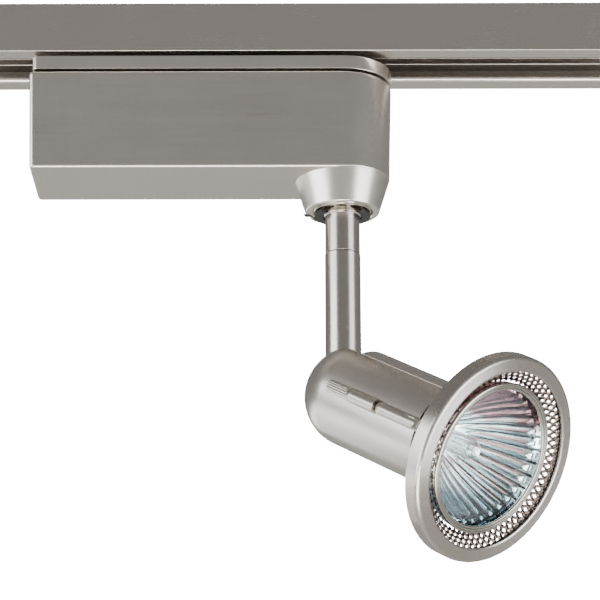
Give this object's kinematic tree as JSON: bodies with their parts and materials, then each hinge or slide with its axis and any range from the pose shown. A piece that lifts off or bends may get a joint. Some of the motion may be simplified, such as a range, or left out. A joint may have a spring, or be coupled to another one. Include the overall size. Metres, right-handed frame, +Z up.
{
  "type": "track spotlight",
  "caption": "Low-voltage track spotlight: box-shaped transformer adapter on a track length, swivelling stem, tilting domed head, perforated front ring and fluted reflector lamp.",
  "frame": {"origin": "on the track's flat ceiling face, on the axis that the stem swivels about", "axes": "+X along the track towards the round end of the box, +Z up out of the ceiling face, +Y towards the back"},
  "size_m": [0.2286, 0.0889, 0.2025],
  "materials": {
    "brushed_nickel": "satin brushed nickel",
    "bright_steel": "bright nickel-plated steel",
    "black_steel": "black oxide",
    "brass": "bare brass",
    "copper": "bare copper",
    "dark_plastic": "matt black",
    "ceramic": "unglazed white ceramic",
    "lamp_glass": "clear",
    "dichroic_coating": "mirror-coated pressed glass",
    "board_green": "green solder mask",
    "ferrite": "dull grey-black",
    "film_yellow": "yellow case",
    "aluminium": "mill finish",
    "wire_sleeve": "red sleeve"
  },
  "bodies": {
    "track": {"track_channel": "brushed_nickel", "track_insulator_front": "dark_plastic", "track_insulator_rear": "dark_plastic", "track_conductor_front": "copper", "track_conductor_rear": "copper"},
    "fixture": {"adapter_plate": "brushed_nickel", "plate_screw_1": "bright_steel", "plate_screw_2": "bright_steel", "adapter_neck": "dark_plastic", "lock_foot": "bright_steel", "contact_blade_front": "brass", "contact_blade_rear": "brass", "earth_contact": "brass", "transformer_housing": "brushed_nickel", "circuit_board": "board_green", "board_screw_1": "bright_steel", "board_screw_2": "bright_steel", "transformer_core": "ferrite", "core_winding": "copper", "film_capacitor": "film_yellow", "heat_sink": "aluminium", "power_transistor": "dark_plastic", "terminal_block": "dark_plastic", "output_lead_front": "wire_sleeve", "output_lead_rear": "wire_sleeve", "swivel_bush": "brass", "retaining_clip": "black_steel"},
    "stem": {"stem_stub": "brushed_nickel", "swivel_washer": "bright_steel", "swivel_nut": "bright_steel", "stem_tube": "brushed_nickel", "stem_lead_front": "wire_sleeve", "stem_lead_rear": "wire_sleeve", "stem_knuckle": "brushed_nickel"},
    "head": {"head_housing": "brushed_nickel", "slot_cover": "brushed_nickel", "tilt_bracket": "bright_steel", "bracket_screw": "bright_steel", "pivot_screw": "bright_steel", "pivot_nut": "bright_steel", "pivot_washer_front": "bright_steel", "pivot_washer_rear": "bright_steel", "lamp_socket": "ceramic", "socket_screw_front": "bright_steel", "socket_screw_rear": "bright_steel", "lamp_reflector": "dichroic_coating", "lamp_cover_glass": "lamp_glass", "lamp_capsule": "lamp_glass", "lamp_base": "ceramic", "lamp_pin_front": "bright_steel", "lamp_pin_rear": "bright_steel"},
    "front_ring": {"trim_ring": "brushed_nickel", "perforated_grille": "bright_steel", "lamp_retainer": "bright_steel", "ring_leg": "brushed_nickel"},
    "thumbscrew": {"thumbscrew": "brushed_nickel"}
  },
  "joints": [
    {"name": "slide_along_track", "type": "slide", "parent": "track", "child": "fixture", "axis": [1, 0, 0], "range_m": [-0.018, 0.08]},
    {"name": "head_pan", "type": "hinge", "parent": "fixture", "child": "stem", "pos_m": [0, 0, -0.075], "axis": [0, 0, 1], "range_deg": [-170, 170]},
    {"name": "head_tilt", "type": "hinge", "parent": "stem", "child": "head", "pos_m": [0, 0, -0.1371], "axis": [0.6743, 0.7385, 0], "range_deg": [-37, 61]},
    {"name": "ring_draw_off", "type": "slide", "parent": "head", "child": "front_ring", "axis": [0.6484, -0.592, -0.4787], "range_m": [0, 0.003]},
    {"name": "thumbscrew_turn", "type": "hinge", "parent": "head", "child": "thumbscrew", "pos_m": [-0.01209, -0.01445, -0.1356], "axis": [0.6484, -0.592, -0.4787], "range_deg": [-2160.5, 0]}
  ],
  "couplings": [
    {"joint": "thumbscrew_turn", "follows": "ring_draw_off", "rad_per_m": -12566}
  ]
}
